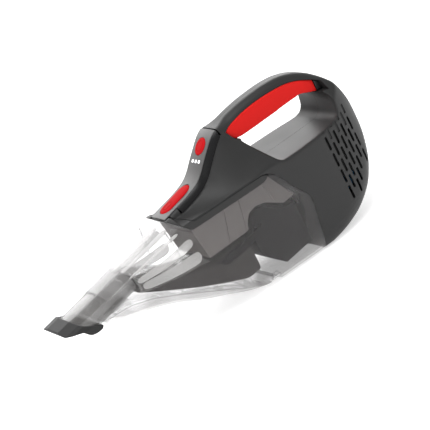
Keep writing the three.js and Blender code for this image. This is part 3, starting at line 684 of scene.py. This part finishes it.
mark = rings_to_piece("mark", oval_rings(13, 8.4, [(0, 1.6), (0, 5)], mark_place, release_slope))
carve(mark, rings_to_piece("mark_core", oval_rings(11.4, 6.8, [(0, 0), (0, 8)], mark_place, release_slope)))
carve(release_key, mark)
creased(power_key, 32)
creased(release_key, 32)
key_red = plastic("red_abs", (0.50, 0.008, 0.011), 0.62, 0.8, 0.03, 0.05, 0.03)
settle(power_key, "power_button", key_red, "power_button")
settle(release_key, "release_button", key_red, "release_button")

# Grip: a red elastomer sleeve snapped round the underside of the handle, with rounded edges where the
# fingers close, and a stiff black collar that holds its rear end.
grip = slab("grip_sleeve", smooth_outline(grip_line, 5, 60), -18.4, 18.4)
carve(grip, slab("core", offset(core_line, -fit), -core_half - 0.3, core_half + 0.3))
moulded(grip, 0.8, 3)
spots = np.array([v.co for v in grip.data.vertices]) / MM
outer_side = np.clip((np.abs(spots[:, 1]) - 14.6) / 1.5, 0, 1)
group = grip.vertex_groups.new(name="soft")
for i in np.nonzero(outer_side > 0.02)[0]:
    group.add([int(i)], float(outer_side[i]), "REPLACE")
step = grip.modifiers.new("soften", "SMOOTH")
step.factor = 0.5
step.iterations = 16
step.vertex_group = "soft"
baked(grip)
grip.vertex_groups.clear()
creased(grip, 50)
elastomer = plastic("red_elastomer", (0.66, 0.012, 0.010), 0.6, 0.6, 0.12, 0.05, 0.12)
settle(grip, "housing", elastomer, "grip")
collar = moulded(slab("collar_ring", smooth_outline(collar_line, 4, 30), -18.9, 18.9), 0.5, 5)
creased(collar, 50)
dark_trim = plastic("black_pa", (0.012, 0.012, 0.0125), 0.4, 0.4, 0.2, 0.06)
settle(collar, "housing", dark_trim, "grip_collar")

# Dust cup: one clear polycarbonate moulding 2.2 mm thick, polished outside, open to the housing behind,
# to the emptying door below and to the nozzle in front.
keel_top = [(-173, 75.5), (-155, 77), (-138, 75), (-115, 67.5), (-83, 51.5), (-39, 27.5), (-20, 16), (4, 4.5)]
cup_line = [(-160, 99.6), (-124, 106), (-89, 112), (-57.2, 124), (-42.2, 107), (54, 107), (63.5, 111.2)]
cup_line += [(x - 0.5, z) for x, z in parting_line[:5][::-1]]
cup_line += [(24.8, 0), (24.8, 4.9), (4, 4.9)]
cup_line += [(x, z + 0.3) for x, z in keel_top[1:-1][::-1]] + [(-160, 76.9)]
cup_cavity = [(-170, 95.4), (-124, 103.7), (-89, 109.7), (-59.2, 120.8), (-43.6, 104.4), (-41.9, 104.4),
              (-41.9, 112), (54, 112), (70, 120), (110, 100), (110, 2.2), (24.5, 2.2), (24.5, -8), (-20, -8),
              (-139, 50), (-139, 83.2), (-170, 77.8)]
clear_wall = 2.2
hinge_x = 20.5
hinge_z = 3.9
hinge_half = 31.8
barrel_half = 31.3
pin_room = 1.5
cup = body_skin("cup_clear", 0.0)
carve(cup, slab("tool", cup_line, -far, far), "INTERSECT")
hollow = body_skin("hollow", clear_wall)
carve(hollow, slab("tool", cup_cavity, -far, far), "INTERSECT")
carve(cup, hollow)
carve(cup, round_hole("barrel_room", 3.6, (hinge_x, -hinge_half, hinge_z), (hinge_x, hinge_half, hinge_z),
                      "y", 28))
carve(cup, brick("room", 14, 24.6, -far, far, -5, 8.5))
for y0, y1 in ((hinge_half, 35.5), (-35.5, -hinge_half)):
    carve(cup, brick("lug", 17.3, 28, y0, y1, 0.9, 7.2), "UNION")
carve(cup, round_hole("pin_room", pin_room, (hinge_x, -40, hinge_z), (hinge_x, 40, hinge_z), "y", 20))
creased(cup, 32)


def clear_plastic(name, colour, face, edge, rough=0.12):
    """Clear moulded plastic: the more a wall is seen edge-on, the milkier it looks."""
    paint = plastic(name, colour, rough, 9.0, 0.02, 0.03, 0.6)
    nodes, links = paint.node_tree.nodes, paint.node_tree.links
    shader = nodes["Principled BSDF"]
    slant = nodes.new("ShaderNodeLayerWeight")
    slant.inputs["Blend"].default_value = 0.35
    cover = nodes.new("ShaderNodeMapRange")
    cover.inputs["To Min"].default_value = face
    cover.inputs["To Max"].default_value = edge
    links.new(slant.outputs["Facing"], cover.inputs["Value"])
    links.new(cover.outputs["Result"], shader.inputs["Alpha"])
    return paint


clear = clear_plastic("clear_polycarbonate", (0.40, 0.39, 0.39), 0.03, 0.5)
settle(cup, "cup", clear, "cup_shell")

# Highlight streaks: eight rounded ribs along the inside of the clear front, four on each side, in a whitish,
# more opaque clear finish: painted highlights that show as the long glossy streaks on the cup's front. They
# are part of the cup's moulding.


def finger(start, end, bow, wide, tall, turns=26, around=20):
    """A lengthwise rib with round ends, bowed upwards, wide across Y and tall in the side view."""
    a, b = Vector(start), Vector(end)
    run = (b - a).normalized()
    side = Vector((0, 1, 0))
    rise = run.cross(side) * -1
    rings = []
    for i in range(turns):
        t = 0.5 - 0.5 * math.cos(math.pi * (i + 0.35) / (turns - 0.3))
        size = (0.6 + 0.4 * t) * math.sqrt(max(1 - abs(2 * t - 1) ** 14, 0.02))
        centre = a.lerp(b, t) + rise * bow * math.sin(math.pi * t)
        turn = [2 * math.pi * k / around for k in range(around)]
        rings.append([tuple(centre + side * wide * size * math.cos(angle)
                            + rise * tall * size * math.sin(angle)) for angle in turn])
    return rings


fingers = []
for hand in (-1, 1):
    fingers.append(finger((-127, 10 * hand, 101.5), (-58, 12 * hand, 113.5), 0.5, 6.0, 1.2))
    fingers.append(finger((-125, 27 * hand, 98.0), (-54, 28 * hand, 108.5), 0.5, 3.4, 1.4))
    fingers.append(finger((-121, 34.2 * hand, 92.0), (-47, 38.6 * hand, 96.0), 2.5, 1.3, 5.6))
    fingers.append(finger((-118, 34.0 * hand, 84.0), (-45, 38.6 * hand, 76.5), 2.0, 1.1, 7.0))
highlight_streaks = many("cup_highlight_streaks", fingers)
creased(highlight_streaks, 60)
# Painted highlight: whitish and more opaque than the cup, so that the ribs read as bright streaks.
streak_paint = clear_plastic("painted_highlight_polycarbonate", (0.85, 0.84, 0.83), 0.36, 0.9, 0.2)
settle(highlight_streaks, "cup", streak_paint, "cup_shell")

# Cup rim: the opaque charcoal collar round the cup's mouth, welded on. Its front end folds over the top of
# the cup, notched for the control strip's tongue and for the latch.
rim_line = [(-56.6, 124.2), (-51.4, 125.4), (-37.7, 116.8), (-34, 115.2), (54.8, 115.2), (62.6, 111.6),
            (54, 107.3), (-41.9, 107.3)]
rim = body_skin("rim_band", 0.0)
carve(rim, slab("tool", smooth_outline(rim_line, 4, 30), -far, far), "INTERSECT")
hollow = body_skin("hollow", 6.0)
carve(hollow, slab("tool", [(-35.8, 90), (70, 90), (70, 130), (-35.8, 130)], -far, far), "INTERSECT")
carve(rim, hollow)
tongue_notch = [(-62, 116.6), (-55, 117.6), (-36, 121.6), (-14, 126.5), (-20, 160), (-62, 160)]
carve(rim, slab("tool", tongue_notch, -tongue_room, tongue_room))
carve(rim, brick("latch_gap", -44.5, -30, -3.6, 3.6, 113.6, 130))
moulded(rim, 0.55, 6)
creased(rim, 50)
settle(rim, "cup", charcoal, "cup_rim")

# Emptying door: a clear curved tray along the keel, moulded in polycarbonate with a round barrel at its rear
# end, which turns on a steel pin.
door_line = [(min(x, 19), max(z, 0.7)) for x, z in keel_line] + keel_top + [(18.5, 4.4)]
door_cavity = [(-171, 90), (-170.4, 74), (-148, 66.3), (-120, 58.3), (-92, 47.3), (-63, 32.4), (-44, 24.3),
               (-9, 9.3), (0, 30), (-60, 90)]
door = body_skin("door_clear", 0.0)
carve(door, slab("tool", door_line, -far, far), "INTERSECT")
hollow = body_skin("hollow", clear_wall)
carve(hollow, slab("tool", door_cavity, -far, far), "INTERSECT")
carve(door, hollow)
for y0, y1 in ((barrel_half, far), (-far, -barrel_half)):
    carve(door, brick("end_room", 12, 30, y0, y1, -5, 10))
barrel = round_hole("barrel", 2.8, (hinge_x, -barrel_half, hinge_z), (hinge_x, barrel_half, hinge_z), "y", 28)
carve(door, barrel, "UNION")
carve(door, round_hole("pin_room", pin_room, (hinge_x, -40, hinge_z), (hinge_x, 40, hinge_z), "y", 20))
creased(door, 32)
clear_door = clear_plastic("clear_door", (0.55, 0.54, 0.54), 0.16, 0.7)
settle(door, "door", clear_door, "emptying_door")

# Intake duct: a flat, wide tube that carries dust from the nozzle down to the cup's rear. Its floor is an
# opaque dark trough, and the clear cover over its front is welded along the trough's edge.
duct_stations = [(-122, 77, 101.5, 33.5), (-104, 66.2, 93, 34), (-84, 55.4, 80, 35), (-64, 44.5, 69.5, 36),
                 (-45, 34.8, 63.5, 36.5), (-23, 24.5, 61.5, 37), (-3, 16.6, 61.5, 37), (11, 17, 62.5, 37)]


def duct_rings(skin, reach):
    rings = []
    for x in np.linspace(-122, 11, 56):
        low = float(along([(s[0], s[1]) for s in duct_stations], x)) + skin
        high = float(along([(s[0], s[2]) for s in duct_stations], x)) - skin
        half = float(along([(s[0], s[3]) for s in duct_stations], x)) - skin
        ring = []
        for k in range(64):
            angle = 2 * math.pi * (k + 0.5) / 64
            c, s = math.cos(angle), math.sin(angle)
            ring.append((x, half * math.copysign(abs(c)**0.42, c),
                         (low + high) / 2 + (high - low) / 2 * math.copysign(abs(s)**0.42, s)))
        rings.append(ring)
    rings[0] = [(x - reach, y, z) for x, y, z in rings[0]]
    rings[-1] = [(x + reach, y, z) for x, y, z in rings[-1]]
    return rings


trough_cut = [(-140, 81.8), (-112, 76.2), (-36, 60.6), (-30, 80), (30, 80), (30, 0), (-140, 0)]
duct = rings_to_piece("duct_trough", duct_rings(0.0, 0.0))
carve(duct, rings_to_piece("bore", duct_rings(1.8, 4.0)))
flap_x = -116
flap_z = 91.8
carve(duct, round_hole("pin_room", 1.3, (flap_x, -40, flap_z), (flap_x, 40, flap_z), "y", 20))
duct_cover = bpy.data.objects.new("duct_cover", duct.data.copy())
scene.collection.objects.link(duct_cover)
carve(duct, slab("tool", trough_cut, -far, far), "INTERSECT")
carve(duct_cover, slab("tool", offset(trough_cut, -0.2), -far, far))
creased(duct, 35)
creased(duct_cover, 35)
duct_grey = plastic("dark_duct_abs", (0.040, 0.035, 0.034), 0.6, 0.8, 0.02, 0.06, 0.08)
settle(duct, "cup", duct_grey, "intake_duct")
cover_clear = clear_plastic("cover_polycarbonate", (0.50, 0.49, 0.48), 0.14, 0.5)
settle(duct_cover, "cup", cover_clear, "intake_duct")

# Filter basket: a thin grey moulding that hangs under the rim, with raised bars down its sides and slots
# in its floor. The black holder below it grips the pleated filter, and has an arm along each side.
basket_line = [(-41.4, 106.6), (-36.5, 66.8), (15, 66.8), (27, 82.3), (38, 85.4), (50, 82.3), (70, 69),
               (86, 70), (76, 88), (66, 106.6)]
basket = slab("basket_walls", basket_line, -36, 36)
inner = np.array(offset(basket_line, 1.6))
inner[-1] += (-2.0, 8.0)
inner[0] += (2.0, 8.0)
carve(basket, slab("tool", [tuple(q) for q in inner], -34.4, 34.4))
for k in range(6):
    carve(basket, brick("slot", -32 + 8 * k, -29.6 + 8 * k, -30, 30, 60, 70))
for start, end in (((55, 106), (61, 78)), ((4, 106), (-8, 68)), ((24, 106), (16, 68))):
    for y0, y1 in ((-37.0, -35.5), (35.5, 37.0)):
        bar = [(start[0], start[1]), (start[0] + 2.4, start[1]), (end[0] + 2.4, end[1]), (end[0], end[1])]
        carve(basket, slab("bar", bar, y0, y1), "UNION")
creased(basket, 32)
basket_grey = plastic("grey_basket_pp", (0.17, 0.155, 0.15), 0.6, 0.8, 0.02, 0.05, 0.1)
settle(basket, "cup", basket_grey, "filter_basket")

holder_line = [(22, 60), (30, 77.5), (39, 80.5), (48, 77.5), (66, 64.5), (83, 62), (83, 12), (43, 8),
               (30, 21), (22, 32)]
holder = slab("holder_cup", smooth_outline(holder_line, 4, 45), -33, 33)
holder_bore = [tuple(q) for q in offset(holder_line, 2.0)]
holder_bore[5] = (92.0, 59.8)
holder_bore[6] = (92.0, 14.2)
carve(holder, slab("tool", holder_bore, -31, 31))
for y0, y1 in ((-40.4, -37.4), (37.4, 40.4)):
    carve(holder, slab("arm", [(-32, 57), (-23, 49), (8, 52), (34, 57), (34, 66), (21, 62)], y0, y1), "UNION")
for y0, y1 in ((-40.4, -32), (32, 40.4)):
    carve(holder, brick("link", 26, 34, y0, y1, 57.5, 65), "UNION")
creased(holder, 32)
black_pp = plastic("black_pp", (0.007, 0.006, 0.0065), 0.6, 0.8, 0.02, 0.06, 0.05)
settle(holder, "cup", black_pp, "filter_holder")

# Nozzle: a smoke-grey polycarbonate tube, flat underneath and arched above, with a slanted mouth. It slides
# in the front of the cup.
nozzle_slope = math.atan2(6, 34)
crown_x = -158
crown_z = 97.3
tube_arch = [(0, -0.1), (12, 0), (19.8, 2.25), (25.6, 3.6), (30.4, 6.3), (33.2, 9.4), (33.2, 15.5),
             (31.4, 17)]


def tube_top(x):
    return crown_z + (x - crown_x) * math.tan(nozzle_slope)


def nozzle_rings(grow, x0, x1):
    side = [(y + (grow * 0.5 if i < 2 else grow), drop - grow if i < 5 else drop if i < 6 else drop + grow)
            for i, (y, drop) in enumerate(tube_arch)][1:]
    rings = []
    for x in np.linspace(x0, x1, 24):
        ring = [(x, y, tube_top(x) - drop) for y, drop in side]
        rings.append(ring + [(px, -py, pz) for px, py, pz in ring[::-1]])
    return rings


def mouth_cut(lead):
    """The solid behind a slanted cut that passes in front of the nozzle's mouth by lead."""
    return slab("mouth", [(-221.3 - lead, 89.8), (-170 - lead, 74.8), (-170, 50), (-100, 50), (-100, 130),
                          (-221.3 - lead, 130)], -far, far)


tube = rings_to_piece("nozzle_smoke", nozzle_rings(0.0, -225, -124.5))
carve(tube, mouth_cut(0.0), "INTERSECT")
carve(tube, rings_to_piece("bore", nozzle_rings(-1.8, -235, -110)))
creased(tube, 28)
smoke = clear_plastic("smoke_polycarbonate", (0.13, 0.125, 0.12), 0.30, 0.85, 0.2)
settle(tube, "nozzle", smoke, "nozzle_tube")

# Nozzle lip: a soft black rubber band, moulded by itself and pushed over the slanted mouth. Its front edge
# has a step on each side.
lip_line = [(-219, 86.5), (-204, 82.9), (-200.5, 81.6), (-193.5, 74.4), (-180, 72.6), (-177.2, 76.8),
            (-196.5, 87.0), (-202.5, 93.5), (-219, 91.5)]
lip = rings_to_piece("lip_rubber", nozzle_rings(3.6, -228, -160))
carve(lip, slab("tool", smooth_outline(lip_line, 4, 50), -far, far), "INTERSECT")
seat = rings_to_piece("seat", nozzle_rings(0.3, -232, -150))
carve(seat, mouth_cut(0.5), "INTERSECT")
carve(lip, seat)
carve(lip, rings_to_piece("bore", nozzle_rings(-1.8, -235, -110)))
moulded(lip, 0.45, 4)
creased(lip, 50)
rubber = plastic("black_rubber", (0.024, 0.024, 0.024), 0.6, 0.4, 0.15, 0.1, 0.25)
settle(lip, "nozzle", rubber, "nozzle_lip")

# Working parts that stay as the CAD made them get the finish of their real material.
steel = plastic("bright_steel", (0.55, 0.55, 0.56), 0.28, 0.25, 0.1, 0.08)
steel.node_tree.nodes["Principled BSDF"].inputs["Metallic"].default_value = 1.0
motor_steel = plastic("motor_can", (0.36, 0.36, 0.37), 0.35, 0.3, 0.15, 0.1)
motor_steel.node_tree.nodes["Principled BSDF"].inputs["Metallic"].default_value = 1.0
paper = plastic("pleated_paper", (0.72, 0.69, 0.62), 0.9, 0.6, 0.5, 0.1)
foam = plastic("exhaust_foam", (0.018, 0.018, 0.018), 0.95, 1.1, 1.0, 0.3)
board_green = plastic("board_laminate", (0.02, 0.14, 0.05), 0.4, 0.5, 0.1, 0.15)
cell_wrap = plastic("cell_wrap", (0.03, 0.16, 0.32), 0.35, 2.0, 0.1, 0.06)
wire_cover = plastic("wire_cover", (0.35, 0.02, 0.02), 0.45, 1.5, 0.1, 0.08)
fan_white = plastic("fan_nylon", (0.55, 0.54, 0.50), 0.5, 0.5, 0.15, 0.06)
finishes = {
    "circuit_board": board_green, "power_switch": black_pp, "latch_hook": black_pp, "latch_pin": steel,
    "release_spring": steel, "fan_shroud": black_pp, "motor_mount": black_pp, "motor": motor_steel,
    "battery_tray": black_pp, "exhaust_foam_left": foam, "exhaust_foam_right": foam,
    "charge_socket": dark_trim, "wiring": wire_cover, "fan_rotor": fan_white, "pleated_filter": paper,
    "filter_gasket": rubber, "door_pin": steel, "flap_pin": steel, "inlet_flap": rubber,
    "battery_cell_1": cell_wrap, "battery_cell_2": cell_wrap, "battery_cell_3": cell_wrap,
}
for number in range(1, 6):
    finishes[f"housing_screw_{number}"] = steel
for name, paint in finishes.items():
    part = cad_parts[name]
    part.data.materials.clear()
    part.data.materials.append(paint)

low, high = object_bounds()
